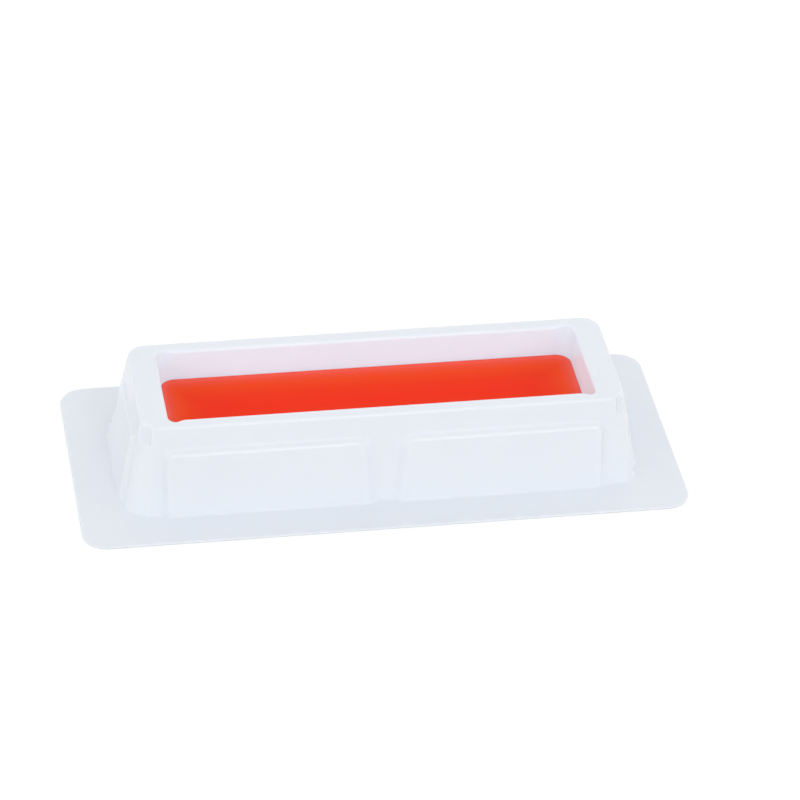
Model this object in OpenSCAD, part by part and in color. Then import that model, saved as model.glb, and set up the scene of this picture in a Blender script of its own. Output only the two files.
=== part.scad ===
// Reagent reservoir: one sheet of plastic drawn into a narrow trough that stands on a wide flange.
// Millimetres. Origin at the centre of the flange's underside, +Z up, length along X.

/* [Mouth] */
// Length of the trough's mouth, which takes a row of twelve pipette tips
mouth_l = 118; // [90:1:160]
// Width of the trough's mouth
mouth_w = 30.8; // [24:0.2:60]
// Corner radius of the mouth
mouth_r = 2.6; // [2.4:0.1:5]
// Rounding of the mouth's edge
mouth_edge_r = 1.2; // [0.6:0.1:1.4]

/* [Rim] */
// Height of the rim above the underside of the flange
rim_h = 26.8; // [22:0.2:40]
// Flat land between the mouth and the rim's outer edge, along each side
rim_side = 3.9; // [3:0.1:10]
// The same land at each end
rim_end = 7.4; // [4:0.1:15]
// Corner radius of the rim
rim_r = 5; // [3.5:0.1:6]
// Rounding of the rim's outer edge
rim_edge_r = 1; // [0.8:0.1:1.5]

/* [Sheet and flange] */
// Thickness of the formed sheet
sheet_t = 0.7; // [0.5:0.05:1]
// Draft of the outer wall, in degrees
wall_draft = 10; // [4:0.5:14]
// Flange beyond the foot of each side panel
flange_side = 10.8; // [6:0.2:30]
// Flange beyond the foot of each end panel
flange_end = 11.6; // [6:0.2:30]
// Corner radius of the flange
flange_r = 6.8; // [2:0.2:15]

/* [Pressed panels] */
// How far the panels stand proud of the wall
panel_step = 1.2; // [0.6:0.1:2]
// Plain band of wall between the rim and the panels' ledge
band_h = 6.6; // [5:0.1:10]
// Fall of the ledge at the top of each panel
ledge_h = 1.4; // [0.8:0.1:2.5]
// Rounding of the panels' top corners
panel_r = 2; // [1:0.1:4]
// Width of the sunk post between the two panels of a side, at the ledge
post_w = 12.4; // [6:0.2:24]
// Width of that post at its foot
post_foot_w = 9.2; // [4:0.2:24]
// Plain wall between a side panel and the body's corner, at the ledge
side_gap = 1.7; // [0:0.1:10]
// Length that each panel gains towards a corner of the body, from the ledge to the foot
corner_spread = 1.6; // [0:0.1:4]

/* [Stacking flutes] */
// Radius of the upright flute in both front corners of the rim
flute_r = 1.7; // [1:0.1:2]
// Depth of the flutes below the rim
flute_h = 5.5; // [3:0.1:8]
// Radius of the relief that widens each corner of the mouth sideways
relief_r = 1.7; // [1:0.1:2]
// How far a relief reaches past the mouth's side
relief_out = 0.9; // [0.3:0.1:1]
// Depth of the reliefs below the rim
relief_h = 4; // [2:0.1:6]

/* [Trough] */
// Draft of the trough's upper walls, in degrees
trough_draft = 7; // [2:0.5:9]
// Depth of the upper walls, down to the knee
knee_drop = 14; // [12:0.5:17]
// Air under the lowest line of the trough
floor_gap = 1.5; // [0.5:0.1:4]
// Radius of the bottom of the V
floor_r = 3; // [1:0.1:3.5]
// Length over which each end slopes down to the bottom
end_slope = 12; // [4:0.5:30]

/* [Reagent] */
// Distance from the rim down to the liquid
fill_drop = 9.2; // [6.5:0.1:11.5]

/* [Hidden] */
$fn = 96;
past = 1;                                   // how far cutters run past a face
wall_tan = tan(wall_draft);
trough_tan = tan(trough_draft);
rim_x = mouth_l / 2 + rim_end;              // half length and half width of the rim
rim_y = mouth_w / 2 + rim_side;
corner_x = rim_x - rim_r;                   // centre that the body's corners turn about
corner_y = rim_y - rim_r;
foot_grow = (rim_h - sheet_t) * wall_tan + panel_step;
foot_x = rim_x + foot_grow;                 // foot of the panels on the flange
foot_y = rim_y + foot_grow;
ledge_z = rim_h - band_h;                   // top of the ledge
side_end = corner_x - side_gap;             // outer end of a side panel, at the ledge
mouth_x = mouth_l / 2 - mouth_r;            // centre that the trough's corners turn about
mouth_y = mouth_w / 2 - mouth_r;
relief_x = mouth_l / 2 - relief_h * trough_tan - relief_r;
relief_y = mouth_w / 2 + relief_out - relief_r;
knee_z = rim_h - knee_drop;
knee_x = mouth_l / 2 - knee_drop * trough_tan;
knee_y = mouth_w / 2 - knee_drop * trough_tan;
floor_z = floor_gap + sheet_t;              // lowest line inside the trough
fill_z = rim_h - fill_drop;
flute_at = (rim_r + 0.3 * flute_r) * sin(45);   // a flute's place, along X and Y from its corner's centre
shell_colour = [0.90, 0.93, 0.96];
reagent_colour = [0.90, 0.06, 0.03];

// Turns a half section round a rounded rectangle whose corner centres are at (cx, cy).
// The section lies right of the Y axis, from z0 to z1, and is measured from a corner's centre.
module around(cx, cy, z0, z1) {
    for (end = [0, 180])
        rotate([0, 0, end]) {
            translate([cx, cy, 0]) rotate_extrude(angle = 90) children();
            translate([-cx, cy, 0]) rotate([0, 0, 90]) rotate_extrude(angle = 90) children();
            translate([cx, cy, 0]) rotate([90, 0, 0]) linear_extrude(2 * cy) children();
            translate([-cx, cy, 0]) rotate([90, 0, 90]) linear_extrude(2 * cx) children();
        }
    translate([-cx, -cy, z0]) cube([2 * cx, 2 * cy, z1 - z0]);
}

// Section of the outer wall: drafted, with a rounded rim. A positive inset gives the underside.
module wall_section(inset, z0) {
    top = rim_h - inset;
    r = max(rim_edge_r - inset, 0.2);
    side = inset / cos(wall_draft);
    cx = rim_r - side + (inset + r) * wall_tan - r / cos(wall_draft);
    polygon([
        [0, z0],
        [rim_r - side + (rim_h - z0) * wall_tan, z0],
        [cx + r * cos(wall_draft), top - r + r * sin(wall_draft)],
        [cx, top - r],
        [cx, top],
        [0, top]
    ]);
    translate([cx, top - r]) circle(r);
}

// Section of the skirt that the panels are cut from: the wall moved out, under a sloping ledge
module skirt_section(inset, z0) {
    side = inset / cos(wall_draft);
    drop = inset * tan((90 - atan(ledge_h / panel_step)) / 2);
    low = ledge_z - ledge_h - drop;
    function wall_at(z) = rim_r - side + (rim_h - z) * wall_tan;
    polygon([
        [0, z0],
        [wall_at(z0) + panel_step, z0],
        [wall_at(low) + panel_step, low],
        [wall_at(ledge_z - drop), ledge_z - drop],
        [0, ledge_z - drop]
    ]);
}

// Upright outline of one panel, between x0 and x1 at the ledge and f0 and f1 at the foot
module panel_outline(x0, x1, f0, f1, inset, z0) {
    r = max(panel_r - inset, 0.3);
    top = ledge_z - inset / 2;
    function edge(a, f, z) = a + (f - a) * (ledge_z - z) / ledge_z;
    difference() {
        polygon([
            [edge(x0, f0, z0) + inset, z0],
            [edge(x1, f1, z0) - inset, z0],
            [edge(x1, f1, top) - inset, top],
            [edge(x0, f0, top) + inset, top]
        ]);
        for (e = [[x0 + inset, 1], [x1 - inset, -1]])
            difference() {
                translate([e[0] + e[1] * (r - past) / 2, top + past / 2 - r / 2])
                    square([r + past, r + past], center = true);
                translate([e[0] + e[1] * r, top - r]) circle(r);
                translate([e[0] + e[1] * (r + past), top]) square([2 * past, 4 * r], center = true);
            }
    }
}

// All the panels: two along each side and one at each end
module panels(inset, z0) {
    intersection() {
        around(corner_x, corner_y, z0, ledge_z - inset / 2) skirt_section(inset, z0);
        union() {
            for (side = [-1, 1])
                translate([0, 2 * foot_y, 0]) rotate([90, 0, 0]) linear_extrude(4 * foot_y)
                    mirror([side < 0 ? 1 : 0, 0])
                        panel_outline(post_w / 2, side_end, post_foot_w / 2, side_end + corner_spread, inset, z0);
            translate([-2 * foot_x, 0, 0]) rotate([90, 0, 90]) linear_extrude(4 * foot_x)
                panel_outline(-corner_y, corner_y, -corner_y - corner_spread, corner_y + corner_spread, inset, z0);
        }
    }
}

// Solid inside the sheet's upper face, or inside its underside when inset by the sheet's thickness
module body_form(inset, z0) {
    difference() {
        union() {
            around(corner_x, corner_y, z0, rim_h - inset) wall_section(inset, z0);
            panels(inset, z0);
        }
        for (sx = [-1, 1])
            translate([sx * (corner_x + flute_at), -corner_y - flute_at, rim_h - flute_h - inset])
                cylinder(r = flute_r + inset, h = flute_h + inset + past);
    }
}

// Section of the trough's upper walls, opened at the mouth by the rim's inner rounding
module mouth_section(grow, z0) {
    side = grow / cos(trough_draft);
    r = mouth_edge_r;
    cx = mouth_r + r / cos(trough_draft) - r * trough_tan;
    function wall_at(z) = mouth_r + side - (rim_h - z) * trough_tan;
    if (grow > 0)
        polygon([[0, z0], [wall_at(z0), z0], [wall_at(rim_h + past), rim_h + past], [0, rim_h + past]]);
    else
        difference() {
            polygon([
                [0, z0],
                [wall_at(z0), z0],
                [cx - r * cos(trough_draft), rim_h - r + r * sin(trough_draft)],
                [cx, rim_h - r],
                [cx, rim_h + past],
                [0, rim_h + past]
            ]);
            translate([cx, rim_h - r]) circle(r);
        }
}

// Lower trough: a round-bottomed V along X, whose ends slope down to the bottom
module lower_trough(grow) {
    top = knee_z - grow / 2;
    cz = floor_z + floor_r;
    r = floor_r + grow;
    kx = knee_x + grow;
    ky = knee_y + grow;
    rise = atan2(top - cz, ky) - acos(r / norm([ky, top - cz]));
    intersection() {
        translate([-kx - past, 0, 0]) rotate([90, 0, 90]) linear_extrude(2 * (kx + past)) {
            polygon([
                [ky, top],
                [r * cos(rise), cz + r * sin(rise)],
                [0, cz],
                [-r * cos(rise), cz + r * sin(rise)],
                [-ky, top]
            ]);
            translate([0, cz]) circle(r);
        }
        translate([0, ky + past, 0]) rotate([90, 0, 0]) linear_extrude(2 * (ky + past))
            polygon([
                [kx, top],
                [kx - end_slope, floor_z - grow],
                [end_slope - kx, floor_z - grow],
                [-kx, top]
            ]);
    }
}

// Everything that the trough holds, grown by the sheet's thickness for its underside
module trough_form(grow) {
    around(mouth_x, mouth_y, knee_z - grow / 2, rim_h + past) mouth_section(grow, knee_z - grow / 2);
    lower_trough(grow);
    for (sx = [-1, 1], sy = [-1, 1])
        translate([sx * relief_x, sy * relief_y, rim_h - relief_h - grow])
            cylinder(r = relief_r + grow, h = relief_h + grow + past);
}

module flange() {
    l = foot_x + flange_end - flange_r;
    w = foot_y + flange_side - flange_r;
    for (sx = [-1, 1], sy = [-1, 1])
        translate([sx * l, sy * w, 0]) cylinder(r = flange_r, h = sheet_t);
    translate([-l - flange_r, -w, 0]) cube([2 * (l + flange_r), 2 * w, sheet_t]);
    translate([-l, -w - flange_r, 0]) cube([2 * l, 2 * (w + flange_r), sheet_t]);
}

module reservoir() {
    color(shell_colour)
        difference() {
            union() {
                flange();
                body_form(0, 0);
            }
            difference() {
                body_form(sheet_t, -past);
                trough_form(sheet_t);
            }
            trough_form(0);
        }
}

module reagent() {
    color(reagent_colour)
        intersection() {
            trough_form(0);
            translate([-mouth_l, -mouth_w, 0]) cube([2 * mouth_l, 2 * mouth_w, fill_z]);
        }
}

reservoir();
reagent();
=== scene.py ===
import math

import bpy
from mathutils import Matrix, Vector


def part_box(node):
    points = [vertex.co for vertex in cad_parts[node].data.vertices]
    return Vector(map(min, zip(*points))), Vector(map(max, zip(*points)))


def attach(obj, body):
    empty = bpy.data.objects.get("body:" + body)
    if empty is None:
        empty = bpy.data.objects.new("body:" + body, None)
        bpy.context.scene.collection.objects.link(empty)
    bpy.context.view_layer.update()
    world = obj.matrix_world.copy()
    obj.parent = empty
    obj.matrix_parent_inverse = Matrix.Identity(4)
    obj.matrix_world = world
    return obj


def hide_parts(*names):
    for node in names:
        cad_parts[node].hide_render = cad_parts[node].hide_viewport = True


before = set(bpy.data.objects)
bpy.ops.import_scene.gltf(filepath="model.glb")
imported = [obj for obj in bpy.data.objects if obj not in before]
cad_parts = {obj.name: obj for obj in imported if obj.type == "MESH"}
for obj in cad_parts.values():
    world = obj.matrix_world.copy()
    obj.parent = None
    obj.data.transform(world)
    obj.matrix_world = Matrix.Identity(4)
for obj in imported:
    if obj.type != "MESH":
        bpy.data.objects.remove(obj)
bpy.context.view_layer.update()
mm = 0.001
tiny = 1e-9
weldDistance = 0.002 * mm       # points that lie closer than this are one point

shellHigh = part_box("reservoir")[1] / mm
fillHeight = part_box("reagent")[1].z / mm


def newGeometryTree(name, labels):
    tree = bpy.data.node_groups.new(name, "GeometryNodeTree")
    tree.interface.new_socket("Geometry", in_out="INPUT", socket_type="NodeSocketGeometry")
    for label, kind in labels:
        tree.interface.new_socket(label, in_out="INPUT", socket_type="NodeSocket" + kind)
    tree.interface.new_socket("Geometry", in_out="OUTPUT", socket_type="NodeSocketGeometry")
    return tree


def addNode(tree, kind, links=None, **settings):
    node = tree.nodes.new(kind)
    for name, value in settings.items():
        setattr(node, name, value)
    for key, value in (links or {}).items():
        feed(tree, node.inputs[key], value)
    return node


def feed(tree, socket, value):
    if isinstance(value, bpy.types.NodeSocket):
        tree.links.new(value, socket)
    else:
        socket.default_value = value


def maths(tree, operation, *values):
    node = addNode(tree, "ShaderNodeMath", dict(enumerate(values)), operation=operation)
    return node.outputs[0]


def vectorMaths(tree, operation, *values):
    node = addNode(tree, "ShaderNodeVectorMath", dict(enumerate(values)), operation=operation)
    return node.outputs["Value" if operation == "LENGTH" else "Vector"]


def scaled(tree, vector, scale):
    return addNode(tree, "ShaderNodeVectorMath", {0: vector, "Scale": scale}, operation="SCALE").outputs[0]


def readAttribute(tree, name, kind):
    return addNode(tree, "GeometryNodeInputNamedAttribute", {"Name": name}, data_type=kind).outputs[0]


def weld(tree, geometry):
    sewn = addNode(tree, "GeometryNodeMergeByDistance", {"Geometry": geometry, "Distance": weldDistance})
    return sewn.outputs[0]


def finishTree(tree, geometry, material):
    solid = addNode(tree, "GeometryNodeRealizeInstances", {"Geometry": weld(tree, geometry)}).outputs[0]
    finished = addNode(tree, "GeometryNodeSetMaterial", {"Geometry": solid, "Material": material}).outputs[0]
    addNode(tree, "NodeGroupOutput", {"Geometry": finished})


def runTree(piece, tree, values):
    modifier = piece.modifiers.new(tree.name, "NODES")
    modifier.node_group = tree
    for item in tree.interface.items_tree:
        if item.item_type == "SOCKET" and item.in_out == "INPUT" and item.name in values:
            modifier[item.identifier] = values[item.name]
    made = piece.evaluated_get(bpy.context.evaluated_depsgraph_get())
    mesh = bpy.data.meshes.new_from_object(made)
    piece.modifiers.remove(modifier)
    old = piece.data
    piece.data = mesh
    bpy.data.meshes.remove(old)
    mesh.name = piece.name


def rayToRoundedBox(startX, startY, angle, halfX, halfY, radius):
    # where a ray from inside meets a rounded rectangle, and the wall's direction outwards there
    alongX = math.cos(angle)
    alongY = math.sin(angle)
    sideX = 1 if alongX > tiny or (abs(alongX) < tiny and startX >= 0) else -1
    sideY = 1 if alongY > tiny or (abs(alongY) < tiny and startY >= 0) else -1
    x = startX * sideX
    y = startY * sideY
    dx = abs(alongX)
    dy = abs(alongY)
    radius = min(radius, halfX, halfY)
    if dx > tiny and y + (halfX - x) / dx * dy <= halfY - radius + tiny:
        reach = (halfX - x) / dx
        outX, outY = 1.0, 0.0
    elif dy > tiny and x + (halfY - y) / dy * dx <= halfX - radius + tiny:
        reach = (halfY - y) / dy
        outX, outY = 0.0, 1.0
    else:
        fromX = x - (halfX - radius)
        fromY = y - (halfY - radius)
        lean = fromX * dx + fromY * dy
        reach = -lean + math.sqrt(max(lean * lean - fromX ** 2 - fromY ** 2 + radius ** 2, 0))
        outX = (fromX + reach * dx) / max(radius, tiny)
        outY = (fromY + reach * dy) / max(radius, tiny)
    return reach, outX * sideX, outY * sideY


def spaced(start, end, count):
    # evenly spaced values, with the end left out
    return [start + (end - start) * i / count for i in range(count)]


def smoothMin(a, b, blend):
    # the smaller of two values, rounded over where they are nearly equal
    near = max(blend - abs(a - b), 0) / blend
    return min(a, b) - near ** 3 * blend / 6


def smoothFade(value):
    # an S-curve from 0 to 1
    value = min(max(value, 0), 1)
    return value * value * (3 - 2 * value)


shell = {
    # millimetres and degrees
    "sheet": 0.7,
    "mouthLength": 118,
    "mouthWidth": 30.8,
    "mouthCorner": 2.3,
    "mouthEdge": 1.1,
    "rimSide": 3.9,
    "rimEnd": 7.4,
    "rimCorner": 5,
    "rimEdge": 0.85,
    "wallDraft": 10,
    "footCorner": 6.1,
    "footFillet": 0.8,
    "flangeCorner": 6.8,
    "flangeEdge": 0.3,
    "sideStep": (1.8, 1.0),         # how far the panels stand out: at the ledge, at the foot
    "endStep": (0.85, 1.2),
    "ledgeDrop": 6.6,
    "ledgeFall": 0.75,
    "postHalf": (6.4, 4.2),         # from the middle to the raised field of a side panel
    "sidePanelHalf": (59.4, 59.9),
    "endPanelHalf": (11.5, 14.2),
    "sideFlank": (2.25, 1.6),       # width of the slope that leads up to the field
    "endFlank": (2.0, 3.6),
    "flankSqueeze": 0.6,            # the flanks by the body's corners are narrower
    "outlineCorner": 4,
    "fieldCorner": 1.8,
    "ledgeBend": 0.9,               # radius of the bends along the ledge, and down the flanks
    "sideFlankBend": 2.2,
    "endFlankBend": 4,
    "bendChange": 0.8,              # the one changes into the other over twice this
    "fluteRadius": 2.3,
    "fluteCentre": 6.6,             # from the corner's turning point, at the rim
    "fluteDraft": 6.7,
    "fluteDepth": 5.5,
    "fluteLip": 1.1,
    "reliefRadius": 1.7,
    "reliefSpan": (1.4, 2.9),       # full up to here and gone by there, in radii from the mouth's end
    "reliefOut": 0.9,
    "reliefDepth": 5,
    "troughDraft": 7,
    "kneeDrop": 14,
    "kneeRound": (1, 1.2),          # how far above and below the knee its rounding reaches
    "kneeCorner": 5,
    "floorGap": 1.5,
    "floorRadius": 3,
    "endSlope": 12,
    "underSoftening": 6,            # passes that soften the bends of the underside
    "shades": ((0.848, 0.888, 0.958, 1), (0.868, 0.906, 0.972, 1)),
    "gloss": (0.19, 0.25),          # roughness
    "cloudScale": 55,
    "peelScale": 900,
    "peelStrength": 0.05,
    "peelHeight": 0.2,
}

rimX = shell["mouthLength"] / 2 + shell["rimEnd"]
rimY = shell["mouthWidth"] / 2 + shell["rimSide"]
turnX = rimX - shell["rimCorner"]               # the body's corners turn about this point
turnY = rimY - shell["rimCorner"]
rimHeight = shellHigh.z
ledgeHeight = rimHeight - shell["ledgeDrop"]
wallLean = math.tan(math.radians(shell["wallDraft"]))
troughLean = math.tan(math.radians(shell["troughDraft"]))
landStep = 0.15         # a ring this close by each edge of the land keeps the land flat


def makeStations():
    # each station is a ray: shares of the turning point's X and Y, and an angle in the plan.
    # They lie close together where the panels' flanks and the flutes' edges are
    flankStart, fieldStart, fieldEnd = 2.2, 8.8, 57
    half = [0, 0.9, 1.6] + spaced(flankStart, fieldStart, 18)
    half += spaced(fieldStart, fieldEnd, 8) + spaced(fieldEnd, turnX, 12)
    side = [-x for x in reversed(half[1:])] + half
    endFieldEnd = 10.2
    endHalf = [0, 2.6, 5.2, 7.8, 9.2] + spaced(endFieldEnd, turnY, 10)
    end = [-y for y in reversed(endHalf[1:])] + endHalf

    # round the corners, in degrees off the flute's middle or off the end's wall
    flute = spaced(0, 12, 6) + spaced(12, 20, 12) + [20, 20.8, 21.8, 23]
    plain = spaced(0, 24, 12) + spaced(24, 90, 16) + [90]
    front = spaced(0, 21, 12) + [45 - a for a in reversed(flute[1:])] + [45 + a for a in flute]
    front += [70, 73, 76.5, 80, 83.5, 87, 90]

    stations = []
    stations += [(1, y / turnY, 0) for y in end]
    stations += [(1, 1, a) for a in plain]
    stations += [(x / turnX, 1, 90) for x in reversed(side)]
    stations += [(-1, 1, 180 - a) for a in reversed(plain)]
    stations += [(-1, y / turnY, 180) for y in reversed(end)]
    stations += [(-1, -1, 180 + a) for a in front]
    stations += [(x / turnX, -1, 270) for x in side]
    stations += [(1, -1, 360 - a) for a in reversed(front)]
    return [(u, v, math.radians(a)) for u, v, a in stations]


def fluteReach(angle, z, lip):
    # distance from the turning point to the flute's face, at an angle off the corner's diagonal
    r = shell["fluteRadius"]
    flare = 70          # beyond its edge it runs out this steeply, so that the wall takes over
    centre = shell["fluteCentre"] + (rimHeight - z) * math.tan(math.radians(shell["fluteDraft"]))
    limit = math.asin(r / centre)
    if angle < limit:
        inside = r * r - (centre * math.sin(angle)) ** 2
        return centre * math.cos(angle) - math.sqrt(max(inside, 0)) - lip
    return centre * math.cos(limit) + (angle - limit) * flare - lip


def outerPoint(station, ring):
    u, v, angle = station
    startX = u * turnX
    startY = v * turnY
    reach, outX, outY = rayToRoundedBox(startX, startY, angle, ring["halfX"], ring["halfY"], ring["radius"])
    if ring["flute"] > 0 and v == -1 and abs(u) == 1:
        diagonal = math.atan2(-1, u)
        turn = abs(math.remainder(angle - diagonal, 2 * math.pi))
        cut = smoothMin(reach, fluteReach(turn, ring["z"], ring["lip"]), shell["fluteLip"])
        reach += (cut - reach) * ring["flute"]
    return (startX + reach * math.cos(angle), startY + reach * math.sin(angle), ring["z"]), (outX, outY)


def innerPoint(station, ring):
    u, v, angle = station
    radius = min(ring["radius"], 0.8 * ring["halfY"])       # the lowest rings are narrow
    startX = u * (ring["halfX"] - radius)
    startY = v * (ring["halfY"] - radius)
    reach, outX, outY = rayToRoundedBox(startX, startY, angle, ring["halfX"], ring["halfY"], radius)
    x = startX + reach * math.cos(angle)
    y = startY + reach * math.sin(angle)
    if ring["relief"] > 0:
        # each corner of the mouth swells sideways, in an S-curve along the side and over its outer third
        along = (ring["halfX"] - abs(x)) / shell["reliefRadius"]
        full, gone = shell["reliefSpan"]
        swell = smoothFade((gone - along) / (gone - full)) * smoothFade(abs(y) / ring["halfY"] * 3 - 2)
        y += math.copysign(shell["reliefOut"] * ring["relief"] * swell, y)
    return (x, y, ring["z"]), (outX, outY)


def ringAt(z, halfX, halfY, radius, inner=False, hold=0.0, flute=0.0, lip=0.0, relief=0.0, trim=False):
    return {"z": z, "halfX": halfX, "halfY": halfY, "radius": radius, "inner": inner, "hold": hold,
            "flute": flute, "lip": lip, "relief": relief, "trim": trim}


def wallRing(z, **extra):
    # the drafted outer wall at height z
    grow = (rimHeight - z) * wallLean
    share = (rimHeight - z) / (rimHeight - shell["sheet"])
    radius = shell["rimCorner"] + (shell["footCorner"] - shell["rimCorner"]) * share
    return ringAt(z, rimX + grow, rimY + grow, radius, hold=1.0, **extra)


def grown(ring, grow, z, **extra):
    # a ring moved outwards by an equal distance all round
    made = dict(ring, z=z, halfX=ring["halfX"] + grow, halfY=ring["halfY"] + grow,
                radius=ring["radius"] + grow)
    made.update(extra)
    return made


def flangeRings():
    # round the edge of the flange from its underside, then inwards over its flat to the wall
    rings = []
    edge = shell["flangeEdge"]
    edgeStep = 0.12         # a ring close by the edge keeps the flat flat
    outer = ringAt(shell["sheet"], shellHigh.x, shellHigh.y, shell["flangeCorner"])
    for turn in (0, 30, 60, 90):
        sweep = math.radians(turn)
        rings.append(grown(outer, edge * (math.sin(sweep) - 1), edge * (1 - math.cos(sweep)), trim=True))
    for turn in (0, 30, 60):
        sweep = math.radians(turn)
        height = shell["sheet"] - edge * (1 - math.sin(sweep))
        rings.append(grown(outer, edge * (math.cos(sweep) - 1), height, trim=True))
    rings.append(grown(outer, -edge, shell["sheet"]))
    rings.append(grown(outer, -edge - edgeStep, shell["sheet"]))

    # the fillet where the wall meets the flange
    fillet = shell["footFillet"]
    draft = math.radians(shell["wallDraft"])
    foot = wallRing(shell["sheet"] + fillet * (1 - math.sin(draft)))
    arcs = []
    for turn in spaced(0, 1, 6):
        sweep = math.radians(270) - (math.radians(90) - draft) * turn
        out = fillet * (math.cos(draft) + math.cos(sweep))
        arcs.append(grown(foot, out, shell["sheet"] + fillet * (1 + math.sin(sweep))))

    # the flat of the flange between them, where the panels' lift fades out
    start = rings[-1]
    finish = arcs[0]
    fadeStart, fadeEnd = 0.2, 0.95
    for share in (fadeStart, 0.42, 0.62, 0.78, 0.9, 0.97):
        sizes = ("halfX", "halfY", "radius")
        between = {key: start[key] + (finish[key] - start[key]) * share for key in sizes}
        hold = smoothFade((share - fadeStart) / (fadeEnd - fadeStart))
        rings.append(ringAt(shell["sheet"], hold=hold, **between))
    return rings + arcs + [foot]


def wallRings():
    # evenly up the panels, closer towards the ledge, and closest in the ledge's two bends
    fall = shell["ledgeFall"]
    bottom = shell["sheet"] + shell["footFillet"]
    closer = 4              # below the ledge
    heights = spaced(bottom, ledgeHeight - closer, 15)[1:]
    heights += [ledgeHeight - drop for drop in (closer, 3.5, 3.1, 2.7, 2.3, 1.95, 1.65)]
    bend = shell["ledgeBend"]
    slope = math.atan(shell["sideStep"][0] / fall)
    reach = bend * math.tan(slope / 2)
    arcSteps = 9
    upper = [bend * math.sin(slope * turn / arcSteps) - reach for turn in range(arcSteps + 1)]
    middle = spaced(upper[-1], fall - upper[-1], 4)[1:]
    lower = [fall - drop for drop in reversed(upper)]
    heights += [ledgeHeight - drop for drop in reversed(upper + middle + lower)]
    rings = [wallRing(z) for z in heights]

    # the flute's sloped floor, by height off its middle and share of the cut, then its face up to the rim
    floor = rimHeight - shell["fluteDepth"]
    for height, cut in ((-0.4, 0.0), (-0.34, 0.06), (-0.22, 0.2), (-0.08, 0.4),
                        (0.08, 0.62), (0.22, 0.82), (0.34, 0.94), (0.46, 1.0)):
        rings.append(wallRing(floor + height, flute=cut))
    rings += [wallRing(rimHeight - drop, flute=1.0) for drop in (4.2, 3, 2, 1.3)]
    return rings


def rimRings():
    # round the rim's outer edge and on to the land; the flute's face leans back with it
    edge = shell["rimEdge"]
    draft = math.radians(shell["wallDraft"])
    top = wallRing(rimHeight - edge * (1 - math.sin(draft)), flute=1.0)
    arcSteps = 7
    edgeLean, landLean = 0.45, 0.8      # the flute's face moves in by these shares of the ring's own step
    rings = []
    for turn in range(arcSteps + 1):
        sweep = draft + (math.radians(90) - draft) * turn / arcSteps
        inset = edge * (math.cos(draft) - math.cos(sweep))
        rings.append(grown(top, -inset, rimHeight - edge * (1 - math.sin(sweep)), lip=edgeLean * inset))
    land = rings[-1]
    rings.append(grown(land, -landStep, rimHeight, lip=land["lip"] + landLean * landStep))
    return rings


def troughHalf(depth):
    return (shell["mouthLength"] / 2 - depth * troughLean, shell["mouthWidth"] / 2 - depth * troughLean)


def troughCorner(depth):
    return shell["mouthCorner"] + (shell["kneeCorner"] - shell["mouthCorner"]) * depth / shell["kneeDrop"]


def troughRing(depth):
    halfX, halfY = troughHalf(depth)
    relief = smoothFade(1 - depth / shell["reliefDepth"])
    return ringAt(rimHeight - depth, halfX, halfY, troughCorner(depth), inner=True, relief=relief)


def mouthRings():
    # from the land round the mouth's edge and down
    edge = shell["mouthEdge"]
    draft = math.radians(shell["troughDraft"])
    top = troughRing(edge * (1 - math.sin(draft)))
    arcSteps = 7
    cornerShare = 0.6       # the corners' radius grows by this share of the step outwards
    rings = []
    for turn in range(arcSteps + 1):
        sweep = math.radians(90) + (math.radians(90) - draft) * turn / arcSteps
        out = edge * (math.cos(draft) + math.cos(sweep))
        corner = top["radius"] + cornerShare * out
        rings.append(grown(top, out, rimHeight - edge * (1 - math.sin(sweep)), radius=corner))
    # the land has one ring with no relief, clear of where the relief swells to
    clear = shell["reliefOut"] + 0.2
    land = rings[0]
    return [grown(land, clear, rimHeight, relief=0.0), grown(land, landStep, rimHeight)] + rings


def lowerHalf(z):
    # half length and half width of the V below the knee
    knee = rimHeight - shell["kneeDrop"]
    floor = shell["floorGap"] + shell["sheet"]
    halfX, halfY = troughHalf(shell["kneeDrop"])
    r = shell["floorRadius"]
    centre = floor + r
    run = math.hypot(halfY, knee - centre)
    rise = math.atan2(knee - centre, halfY) - math.acos(r / run)
    leaveHeight = centre + r * math.sin(rise)           # where the side leaves the round bottom
    leaveWidth = r * math.cos(rise)
    share = (knee - z) / (knee - floor)
    if z > leaveHeight:
        width = leaveWidth + (halfY - leaveWidth) * (z - leaveHeight) / (knee - leaveHeight)
    else:
        width = math.sqrt(max(r * r - (z - centre) ** 2, 0))
    return halfX - shell["endSlope"] * share, width


def troughRings(start=shell["mouthEdge"], gap=0.0):
    # the upper walls, a rounded knee, and the V down to its bottom line, all moved in by the gap
    knee = rimHeight - shell["kneeDrop"]
    floor = shell["floorGap"] + shell["sheet"]
    roundAbove, roundBelow = shell["kneeRound"]
    above = troughRing(shell["kneeDrop"] - roundAbove)
    depths = (1.6, 2.2, 2.9, 3.6, 4.4, 5.2, 7.2, 9.2, 11.2)
    rings = [troughRing(depth) for depth in depths if depth >= start] + [above]
    # a quadratic through the knee rounds it
    kneeX, kneeY = troughHalf(shell["kneeDrop"])
    bottom = knee - roundBelow
    belowX, belowY = lowerHalf(bottom)
    for share in (0.2, 0.4, 0.6, 0.8, 1.0):
        a, b, c = (1 - share) ** 2, 2 * share * (1 - share), share ** 2
        rings.append(ringAt(a * above["z"] + b * knee + c * bottom,
                            a * above["halfX"] + b * kneeX + c * belowX,
                            a * above["halfY"] + b * kneeY + c * belowY, shell["kneeCorner"], inner=True))
    for share in (0.35, 0.65, 0.83, 0.92, 0.97, 0.995):
        z = knee - (knee - floor) * share
        halfX, halfY = lowerHalf(z)
        rings.append(ringAt(z, halfX, halfY, shell["kneeCorner"], inner=True))
    rings.append(ringAt(floor, lowerHalf(floor)[0], 0.0, 0.0, inner=True))
    if gap:
        rings = [grown(ring, -min(gap, ring["halfY"]), ring["z"]) for ring in rings]
    return rings


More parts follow.
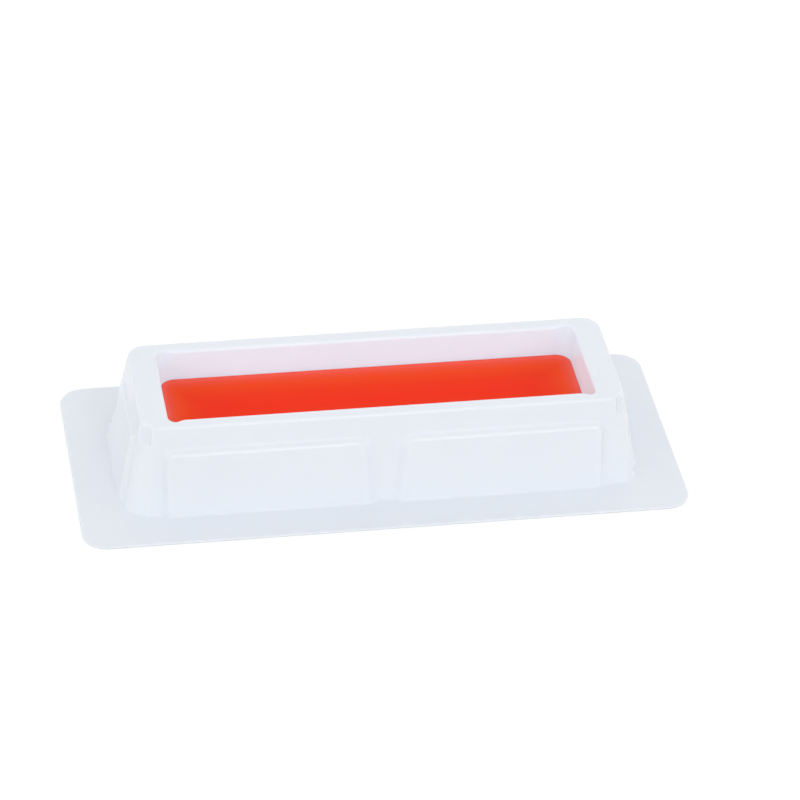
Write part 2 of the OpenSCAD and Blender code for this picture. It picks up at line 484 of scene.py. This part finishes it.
def ringMesh(name, rings, stations):
    # joins the rings in order, and stores what the trees read
    points = []
    outward = []
    for ring in rings:
        place = innerPoint if ring["inner"] else outerPoint
        for station in stations:
            point, out = place(station, ring)
            points.append(Vector(point) * mm)
            outward.append((out[0], out[1], 0.0))
    count = len(stations)
    faces = []
    trimmed = []
    for i in range(len(rings) - 1):
        for j in range(count):
            k = (j + 1) % count
            faces.append((i * count + j, i * count + k, (i + 1) * count + k, (i + 1) * count + j))
            trimmed.append(rings[i]["trim"])
    mesh = bpy.data.meshes.new(name)
    mesh.from_pydata(points, [], faces)
    out = mesh.attributes.new("outward", "FLOAT_VECTOR", "POINT")
    out.data.foreach_set("vector", [value for vector in outward for value in vector])
    hold = mesh.attributes.new("hold", "FLOAT", "POINT")
    hold.data.foreach_set("value", [ring["hold"] for ring in rings for station in stations])
    trim = mesh.attributes.new("trimmedEdge", "BOOLEAN", "FACE")
    trim.data.foreach_set("value", trimmed)
    piece = bpy.data.objects.new(name, mesh)
    bpy.context.scene.collection.objects.link(piece)
    return piece


def roundedClimb(tree, along, slope, bend):
    # a straight climb from zero at a slope, with an arc where it starts
    angle = maths(tree, "ARCTANGENT", slope)
    reach = maths(tree, "MULTIPLY", bend, maths(tree, "TANGENT", maths(tree, "MULTIPLY", angle, 0.5)))
    arm = maths(tree, "MAXIMUM", maths(tree, "ADD", along, reach), 0.0)
    arm = maths(tree, "MINIMUM", arm, maths(tree, "MULTIPLY", bend, maths(tree, "SINE", angle)))
    sag = maths(tree, "SQRT", maths(tree, "SUBTRACT", maths(tree, "MULTIPLY", bend, bend),
                                    maths(tree, "MULTIPLY", arm, arm)))
    return maths(tree, "MAXIMUM", maths(tree, "MULTIPLY", along, slope), maths(tree, "SUBTRACT", bend, sag))


def roundedInside(tree, across, below, radius):
    # distance in from an edge at the side and an edge above, with a round corner between them
    shortX = maths(tree, "SUBTRACT", radius, across)
    shortZ = maths(tree, "SUBTRACT", radius, below)
    overX = maths(tree, "MAXIMUM", shortX, 0.0)
    overZ = maths(tree, "MAXIMUM", shortZ, 0.0)
    corner = addNode(tree, "ShaderNodeCombineXYZ", {0: overX, 1: overZ}).outputs[0]
    over = vectorMaths(tree, "LENGTH", corner)
    under = maths(tree, "MINIMUM", maths(tree, "MAXIMUM", shortX, shortZ), 0.0)
    return maths(tree, "SUBTRACT", maths(tree, "SUBTRACT", radius, over), under)


taperedSizes = {
    "Side step": "sideStep",
    "End step": "endStep",
    "Post half": "postHalf",
    "Side panel half": "sidePanelHalf",
    "End panel half": "endPanelHalf",
    "Side flank": "sideFlank",
    "End flank": "endFlank",
}


def formedSheetTree():
    # presses the panels out of the wall, then gives the skin its thickness
    plain = ("Ledge height", "Ledge fall", "Flank squeeze", "Outline corner", "Field corner", "Ledge bend",
             "Side flank bend", "End flank bend", "Bend change", "Sheet")
    tree = newGeometryTree("formedSheet", [
        (label + end, "Float") for label in taperedSizes for end in (" at ledge", " at foot")
    ] + [
        (label, "Float") for label in plain
    ] + [
        ("Softening", "Int"), ("Material", "Material"),
    ])
    given = tree.nodes.new("NodeGroupInput").outputs
    outward = readAttribute(tree, "outward", "FLOAT_VECTOR")
    hold = readAttribute(tree, "hold", "FLOAT")
    position = tree.nodes.new("GeometryNodeInputPosition").outputs[0]
    place = addNode(tree, "ShaderNodeSeparateXYZ", {0: position})
    facing = addNode(tree, "ShaderNodeSeparateXYZ", {0: outward})
    acrossX = maths(tree, "ABSOLUTE", place.outputs[0])
    acrossY = maths(tree, "ABSOLUTE", place.outputs[1])
    facingX = maths(tree, "ABSOLUTE", facing.outputs[0])
    facingY = maths(tree, "ABSOLUTE", facing.outputs[1])
    isEnd = maths(tree, "GREATER_THAN", facingX, facingY)

    # how far down the panel a point is: 0 at the ledge, 1 at the flange
    below = maths(tree, "SUBTRACT", given["Ledge height"], place.outputs[2])
    share = maths(tree, "DIVIDE", below, given["Ledge height"])

    def mixed(factor, a, b):
        mix = addNode(tree, "ShaderNodeMix", {0: factor, 2: a, 3: b}, data_type="FLOAT", clamp_factor=False)
        return mix.outputs[0]

    taper = {
        label: mixed(share, given[label + " at ledge"], given[label + " at foot"]) for label in taperedSizes
    }

    # how far a point is inside the raised field, and inside the outline where its slope starts
    fromPost = maths(tree, "SUBTRACT", acrossX, taper["Post half"])
    fromEnd = maths(tree, "SUBTRACT", taper["Side panel half"], acrossX)
    fromEnd = maths(tree, "DIVIDE", fromEnd, given["Flank squeeze"])
    inSide = maths(tree, "MINIMUM", fromPost, fromEnd)
    inEnd = maths(tree, "SUBTRACT", taper["End panel half"], acrossY)
    across = mixed(isEnd, inSide, inEnd)
    flank = mixed(isEnd, taper["Side flank"], taper["End flank"])
    belowField = maths(tree, "SUBTRACT", below, given["Ledge fall"])
    inField = roundedInside(tree, across, belowField, given["Field corner"])
    inOutline = roundedInside(tree, maths(tree, "ADD", across, flank), below, given["Outline corner"])

    # the climb from wall to field: tight bends along the ledge, soft ones down the flanks
    step = mixed(isEnd, taper["Side step"], taper["End step"])
    width = maths(tree, "SUBTRACT", inOutline, inField)
    slope = maths(tree, "DIVIDE", step, width)
    onFlank = addNode(tree, "ShaderNodeMapRange", {
        "Value": maths(tree, "SUBTRACT", belowField, across),
        "From Min": maths(tree, "MULTIPLY", given["Bend change"], -1.0),
        "From Max": given["Bend change"],
    }, interpolation_type="SMOOTHSTEP").outputs["Result"]
    flankBend = mixed(isEnd, given["Side flank bend"], given["End flank bend"])
    bend = mixed(onFlank, given["Ledge bend"], flankBend)
    upward = roundedClimb(tree, inOutline, slope, bend)
    backward = roundedClimb(tree, maths(tree, "MULTIPLY", inField, -1.0), slope, bend)
    straight = maths(tree, "MULTIPLY", inOutline, slope)
    climbed = maths(tree, "ADD", maths(tree, "SUBTRACT", upward, straight), step)
    climbed = maths(tree, "SUBTRACT", climbed, backward)
    pressed = addNode(tree, "GeometryNodeSetPosition", {
        "Geometry": given["Geometry"],
        "Offset": scaled(tree, outward, maths(tree, "MULTIPLY", climbed, hold)),
    }).outputs[0]
    smooth = addNode(tree, "GeometryNodeSetShadeSmooth", {"Geometry": pressed}).outputs[0]

    # the underside: a copy moved in along the softened normal, turned over and sewn to the flange's edge
    trimmed = readAttribute(tree, "trimmedEdge", "BOOLEAN")
    under = addNode(tree, "GeometryNodeDeleteGeometry", {"Geometry": smooth, "Selection": trimmed},
                    domain="FACE").outputs[0]
    under = addNode(tree, "GeometryNodeStoreNamedAttribute", {
        "Geometry": weld(tree, under),      # so that both sides of the trough's bottom line move together
        "Name": "skinNormal",
        "Value": tree.nodes.new("GeometryNodeInputNormal").outputs[0],
    }, data_type="FLOAT_VECTOR", domain="POINT").outputs[0]
    softened = addNode(tree, "GeometryNodeBlurAttribute", {
        "Value": readAttribute(tree, "skinNormal", "FLOAT_VECTOR"),
        "Iterations": given["Softening"],
    }, data_type="FLOAT_VECTOR").outputs[0]
    inwards = scaled(tree, vectorMaths(tree, "NORMALIZE", softened),
                     maths(tree, "MULTIPLY", given["Sheet"], -1.0))
    under = addNode(tree, "GeometryNodeSetPosition", {"Geometry": under, "Offset": inwards}).outputs[0]
    under = addNode(tree, "GeometryNodeFlipFaces", {"Mesh": under}).outputs[0]
    joined = tree.nodes.new("GeometryNodeJoinGeometry")
    tree.links.new(under, joined.inputs[0])
    tree.links.new(smooth, joined.inputs[0])
    finishTree(tree, joined.outputs[0], given["Material"])
    return tree


def whiteSheet():
    # satin white sheet: a faint cloud in its colour and gloss, and a fine orange peel
    material = bpy.data.materials.new("whiteSheet")
    material.use_nodes = True
    tree = material.node_tree
    surface = tree.nodes["Principled BSDF"]
    surface.inputs["IOR"].default_value = 1.5
    surface.inputs["Specular IOR Level"].default_value = 0.6
    surface.inputs["Subsurface Weight"].default_value = 0.3
    surface.inputs["Subsurface Radius"].default_value = (0.0016, 0.0013, 0.0011)
    surface.inputs["Subsurface Scale"].default_value = 1.0
    place = tree.nodes.new("ShaderNodeTexCoord").outputs["Object"]
    cloud = addNode(tree, "ShaderNodeTexNoise", {"Vector": place, "Scale": shell["cloudScale"], "Detail": 3})
    colour = addNode(tree, "ShaderNodeValToRGB", {"Fac": cloud.outputs["Fac"]})
    for element, position, shade in zip(colour.color_ramp.elements, (0.3, 0.7), shell["shades"]):
        element.position = position
        element.color = shade
    feed(tree, surface.inputs["Base Color"], colour.outputs["Color"])
    smoothest, roughest = shell["gloss"]
    gloss = addNode(tree, "ShaderNodeMapRange", {
        "Value": cloud.outputs["Fac"],
        "To Min": smoothest,
        "To Max": roughest,
    })
    feed(tree, surface.inputs["Roughness"], gloss.outputs["Result"])
    peel = addNode(tree, "ShaderNodeTexNoise", {"Vector": place, "Scale": shell["peelScale"], "Detail": 2})
    bump = addNode(tree, "ShaderNodeBump", {
        "Strength": shell["peelStrength"],
        "Distance": shell["peelHeight"] * mm,
        "Height": peel.outputs["Fac"],
    })
    feed(tree, surface.inputs["Normal"], bump.outputs["Normal"])
    return material


def buildShell():
    rings = flangeRings() + wallRings() + rimRings() + mouthRings() + troughRings()
    piece = ringMesh("formedShell", rings, makeStations())
    values = {}
    for label, key in taperedSizes.items():
        values[label + " at ledge"] = shell[key][0] * mm
        values[label + " at foot"] = shell[key][1] * mm
    values.update({
        "Ledge height": ledgeHeight * mm,
        "Ledge fall": shell["ledgeFall"] * mm,
        "Flank squeeze": shell["flankSqueeze"],
        "Outline corner": shell["outlineCorner"] * mm,
        "Field corner": shell["fieldCorner"] * mm,
        "Ledge bend": shell["ledgeBend"] * mm,
        "Side flank bend": shell["sideFlankBend"] * mm,
        "End flank bend": shell["endFlankBend"] * mm,
        "Bend change": shell["bendChange"] * mm,
        "Sheet": shell["sheet"] * mm,
        "Softening": shell["underSoftening"],
        "Material": whiteSheet(),
    })
    runTree(piece, formedSheetTree(), values)
    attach(piece, "root")
    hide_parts("reservoir")
    print("shell:", len(rings), "rings,", len(piece.data.polygons), "faces")
    return piece


shellPiece = buildShell()


reagent = {
    # millimetres
    "wallGap": 0.03,
    "climb": 0.35,          # how far the liquid climbs the wall
    "climbReach": 0.7,
    "surfaceBand": 0.01,    # points this near the fill height lie on the surface
    "sightTilt": 37,        # slant of the sight line in the liquid, in degrees off upright
    "sightLines": 8,        # all round
    "sightLength": 100,
    "fullDepth": 12,
    "shades": (             # by share of the full depth
        (0.0, (1.0, 0.130, 0.088, 1)),
        (0.1, (1.0, 0.118, 0.080, 1)),
        (0.22, (1.0, 0.088, 0.040, 1)),
        (0.48, (1.0, 0.064, 0.005, 1)),
        (0.75, (1.0, 0.038, 0.001, 1)),
        (1.0, (1.0, 0.026, 0.0, 1)),
    ),
    "cast": (0.96, 0.63, 0.74, 1),
}


def reagentTree():
    # stores how much liquid lies under each point of the surface, and lifts it where it wets the wall
    tree = newGeometryTree("reagentDepth", [
        ("Vessel", "Object"), ("Fill height", "Float"), ("Climb", "Float"), ("Climb reach", "Float"),
        ("Surface band", "Float"), ("Sight tilt", "Float"), ("Sight length", "Float"),
        ("Material", "Material"),
    ])
    given = tree.nodes.new("NodeGroupInput").outputs
    vessel = addNode(tree, "GeometryNodeObjectInfo", {"Object": given["Vessel"]}).outputs["Geometry"]
    place = tree.nodes.new("GeometryNodeInputPosition").outputs[0]
    height = addNode(tree, "ShaderNodeSeparateXYZ", {0: place}).outputs[2]
    down = maths(tree, "MULTIPLY", maths(tree, "COSINE", given["Sight tilt"]), -1.0)
    across = maths(tree, "SINE", given["Sight tilt"])
    depth = given["Sight length"]
    for turn in range(reagent["sightLines"]):
        sweep = 2 * math.pi * turn / reagent["sightLines"]
        ray = addNode(tree, "ShaderNodeCombineXYZ", {
            0: maths(tree, "MULTIPLY", across, math.cos(sweep)),
            1: maths(tree, "MULTIPLY", across, math.sin(sweep)),
            2: down,
        }).outputs[0]
        hit = addNode(tree, "GeometryNodeRaycast", {
            "Target Geometry": vessel,
            "Source Position": place,
            "Ray Direction": ray,
            "Ray Length": given["Sight length"],
        })
        depth = maths(tree, "MINIMUM", depth, hit.outputs["Hit Distance"])
    stored = addNode(tree, "GeometryNodeStoreNamedAttribute", {
        "Geometry": given["Geometry"],
        "Name": "liquidDepth",
        "Value": maths(tree, "DIVIDE", depth, mm),
    }, data_type="FLOAT", domain="POINT").outputs[0]
    near = addNode(tree, "GeometryNodeProximity", {"Geometry": vessel}, target_element="FACES")
    away = maths(tree, "DIVIDE", near.outputs["Distance"], given["Climb reach"])
    wetting = maths(tree, "EXPONENT", maths(tree, "MULTIPLY", away, -1.0))
    onTop = maths(tree, "COMPARE", height, given["Fill height"], given["Surface band"])
    rise = maths(tree, "MULTIPLY", maths(tree, "MULTIPLY", wetting, given["Climb"]), onTop)
    lifted = addNode(tree, "GeometryNodeSetPosition", {
        "Geometry": stored,
        "Offset": addNode(tree, "ShaderNodeCombineXYZ", {2: rise}).outputs[0],
    }).outputs[0]
    smooth = addNode(tree, "GeometryNodeSetShadeSmooth", {"Geometry": lifted}).outputs[0]
    finishTree(tree, smooth, given["Material"])
    return tree


def redReagent():
    # dyed water: paler where it is shallow, deep red where it is deep, with a red tint in its gloss
    material = bpy.data.materials.new("redReagent")
    material.use_nodes = True
    tree = material.node_tree
    surface = tree.nodes["Principled BSDF"]
    surface.inputs["Roughness"].default_value = 0.04
    surface.inputs["IOR"].default_value = 1.33
    surface.inputs["Specular IOR Level"].default_value = 0.5
    surface.inputs["Specular Tint"].default_value = (1.0, 0.02, 0.0, 1)
    depth = addNode(tree, "ShaderNodeAttribute", attribute_name="liquidDepth").outputs["Fac"]
    share = addNode(tree, "ShaderNodeMapRange", {"Value": depth, "From Max": reagent["fullDepth"]})
    colour = addNode(tree, "ShaderNodeValToRGB", {"Fac": share.outputs["Result"]})
    ramp = colour.color_ramp.elements
    shades = reagent["shades"]
    for position, shade in shades[1:-1]:
        ramp.new(position)
    for element, (position, shade) in zip(ramp, shades):
        element.position = position
        element.color = shade
    # light that has already bounced takes a weaker red from it, as from clear dyed water
    bounced = tree.nodes.new("ShaderNodeLightPath").outputs["Is Diffuse Ray"]
    cast = addNode(tree, "ShaderNodeMix", {0: bounced, 6: colour.outputs["Color"], 7: reagent["cast"]},
                   data_type="RGBA")
    feed(tree, surface.inputs["Base Color"], cast.outputs[2])
    return material


def surfaceRings(waterline):
    # from the wall to the middle of the surface, closer together near the wall
    insets = (0.1, 0.22, 0.38, 0.6, 0.85, 1.15, 1.5, 1.9, 2.35, 2.8, 3.2, 3.6, 4.0, 4.4, 4.9, 5.5, 6.2, 7, 8,
              9.2, 10.4, 11.6, 12.8)
    corner = waterline["radius"]
    rings = [grown(waterline, -inset, fillHeight, radius=corner) for inset in reversed(insets)]
    middle = ringAt(fillHeight, waterline["halfX"] - waterline["halfY"], 0.0, 0.0, inner=True)
    return [middle] + rings


def buildReagent():
    gap = reagent["wallGap"]
    drop = rimHeight - fillHeight
    below = troughRings(start=drop + 0.5, gap=gap)
    waterline = grown(troughRing(drop), -gap, fillHeight, relief=0.0)
    rings = surfaceRings(waterline) + [waterline] + below
    piece = ringMesh("redReagent", rings, makeStations())
    piece.data.flip_normals()
    runTree(piece, reagentTree(), {
        "Vessel": shellPiece,
        "Fill height": fillHeight * mm,
        "Climb": reagent["climb"] * mm,
        "Climb reach": reagent["climbReach"] * mm,
        "Surface band": reagent["surfaceBand"] * mm,
        "Sight tilt": math.radians(reagent["sightTilt"]),
        "Sight length": reagent["sightLength"] * mm,
        "Material": redReagent(),
    })
    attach(piece, "root")
    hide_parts("reagent")
    print("reagent:", len(rings), "rings,", len(piece.data.polygons), "faces")


buildReagent()


stage = {
    "floorSize": 6.0,       # metres
    "floorWhite": 0.7,
    "floorGlow": 0.4,       # lifts the floor to paper white where it is seen
    "roomLight": (          # by height: 0 is the horizon and 1 is overhead
        (0.0, 0.0),
        (0.3, 1.87),
        (0.6, 0.86),
        (1.0, 0.39),
    ),
}


def seenDirectly(tree):
    # one where the background is looked at, straight on or in a reflection
    path = tree.nodes.new("ShaderNodeLightPath").outputs
    clear = maths(tree, "MAXIMUM", path["Is Glossy Ray"], path["Is Transmission Ray"])
    return maths(tree, "MAXIMUM", path["Is Camera Ray"], clear)


def buildFloor():
    half = stage["floorSize"] / 2
    mesh = bpy.data.meshes.new("paleFloor")
    corners = [(-half, -half, 0), (half, -half, 0), (half, half, 0), (-half, half, 0)]
    mesh.from_pydata(corners, [], [(0, 1, 2, 3)])
    floor = bpy.data.objects.new("paleFloor", mesh)
    bpy.context.scene.collection.objects.link(floor)
    material = bpy.data.materials.new("paleFloor")
    material.use_nodes = True
    tree = material.node_tree
    tree.nodes.clear()
    white = stage["floorWhite"]
    paper = addNode(tree, "ShaderNodeBsdfDiffuse", {"Color": (white, white, white, 1)})
    glow = addNode(tree, "ShaderNodeEmission", {
        "Strength": maths(tree, "MULTIPLY", seenDirectly(tree), stage["floorGlow"]),
    })
    both = addNode(tree, "ShaderNodeAddShader", {0: paper.outputs[0], 1: glow.outputs[0]})
    addNode(tree, "ShaderNodeOutputMaterial", {"Surface": both.outputs[0]})
    mesh.materials.append(material)


def buildWorld():
    world = bpy.data.worlds.new("softRoom")
    bpy.context.scene.world = world
    world.use_nodes = True
    tree = world.node_tree
    # brighter or dimmer by height; plain white where the camera sees it
    way = tree.nodes.new("ShaderNodeTexCoord").outputs["Generated"]
    height = addNode(tree, "ShaderNodeSeparateXYZ", {0: way}).outputs[2]
    light = addNode(tree, "ShaderNodeValToRGB", {"Fac": height})
    ramp = light.color_ramp.elements
    levels = stage["roomLight"]
    for position, level in levels[1:-1]:
        ramp.new(position)
    for element, (position, level) in zip(ramp, levels):
        element.position = position
        element.color = (level, level, level, 1)
    colour = addNode(tree, "ShaderNodeMix", {
        0: seenDirectly(tree),
        6: light.outputs["Color"],
        7: (1, 1, 1, 1),
    }, data_type="RGBA").outputs[2]
    feed(tree, tree.nodes["Background"].inputs["Color"], colour)


lamps = {
    # place in metres, width and height in metres, power in watts; all aim at the tray
    "keySoftbox": ((0.196, -0.942, 0.718), (0.2, 0.2), 1.0),
    "frontHighSoftbox": ((-0.25, -0.85, 0.85), (1.3, 0.6), 0.5),
    "topSoftbox": ((0.0, -0.1, 1.25), (1.1, 0.8), 0.5),
    "leftSoftbox": ((-1.1, -0.35, 0.4), (0.8, 0.6), 0.5),
    "rightSoftbox": ((1.1, -0.35, 0.4), (0.8, 0.6), 0.3),
}


def buildLamps():
    for name, (place, size, power) in lamps.items():
        lamp = bpy.data.lights.new(name, "AREA")
        lamp.shape = "RECTANGLE"
        lamp.size, lamp.size_y = size
        lamp.energy = power
        holder = bpy.data.objects.new(name, lamp)
        holder.location = place
        holder.rotation_euler = Vector(place).to_track_quat("Z", "Y").to_euler()
        bpy.context.scene.collection.objects.link(holder)


view = {
    # the camera looks at the target from an azimuth and elevation, with its picture rolled a little
    "target": (8.36, 4.53, 13.0),   # millimetres
    "azimuth": -11.76,
    "elevation": 36.73,
    "roll": 3.28,
    "distance": 1048.0,
    "lens": 169.65,
    "sensorWidth": 36,
    "clipEnd": 20,                  # metres
}


def buildCamera():
    around = math.radians(view["azimuth"])
    up = math.radians(view["elevation"])
    back = Vector((math.sin(around) * math.cos(up), -math.cos(around) * math.cos(up), math.sin(up)))
    optics = bpy.data.cameras.new("camera")
    optics.lens = view["lens"]
    optics.sensor_width = view["sensorWidth"]
    optics.clip_end = view["clipEnd"]
    camera = bpy.data.objects.new("camera", optics)
    camera.location = (Vector(view["target"]) + back * view["distance"]) * mm
    level = back.to_track_quat("Z", "Y").to_matrix()
    camera.rotation_euler = (level @ Matrix.Rotation(math.radians(view["roll"]), 3, "Z")).to_euler()
    bpy.context.scene.collection.objects.link(camera)
    bpy.context.scene.camera = camera


buildFloor()
buildWorld()
buildLamps()
buildCamera()
bpy.context.scene.view_settings.view_transform = "Standard"
print("stage: floor, lights and camera")
